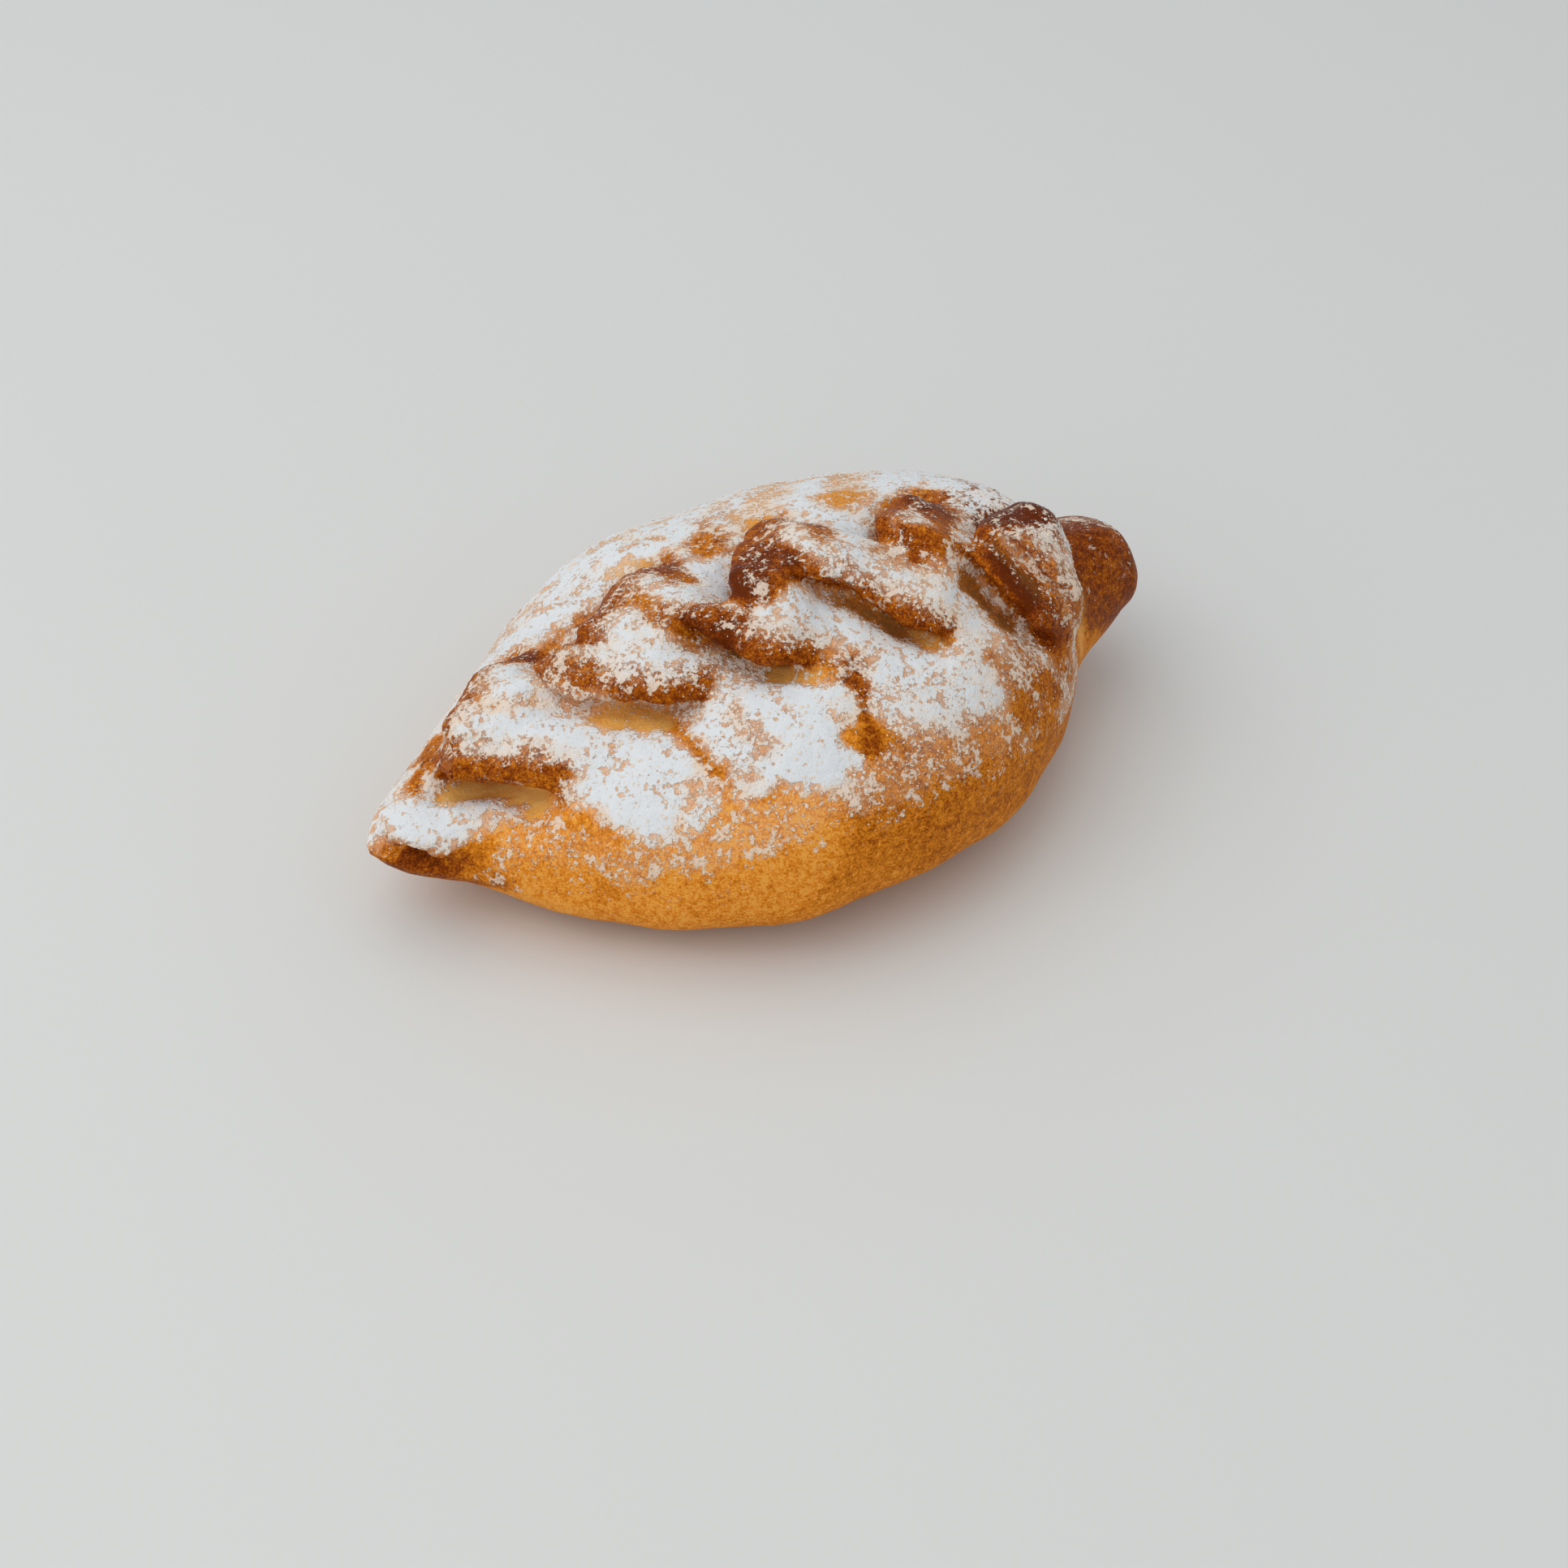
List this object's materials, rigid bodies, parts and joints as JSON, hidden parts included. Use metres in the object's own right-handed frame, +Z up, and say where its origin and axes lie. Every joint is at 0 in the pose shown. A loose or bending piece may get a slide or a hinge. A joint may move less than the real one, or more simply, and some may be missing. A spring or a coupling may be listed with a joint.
{
  "type": "pirozhok",
  "caption": "Boat-shaped filled sweet bun, closed along its top by overlapping browned dough lips and dusted with icing sugar.",
  "frame": {"origin": "on the table under the middle of the bun", "axes": "+X along the bun from its pointed near tip to its blunt far tip, +Y towards its far long side, +Z up"},
  "size_m": [0.158, 0.0964, 0.054],
  "materials": {
    "crust": "matte baked dough, golden below, brown on the lips"
  },
  "bodies": {
    "root": {"pirozhok": "crust"}
  },
  "joints": []
}
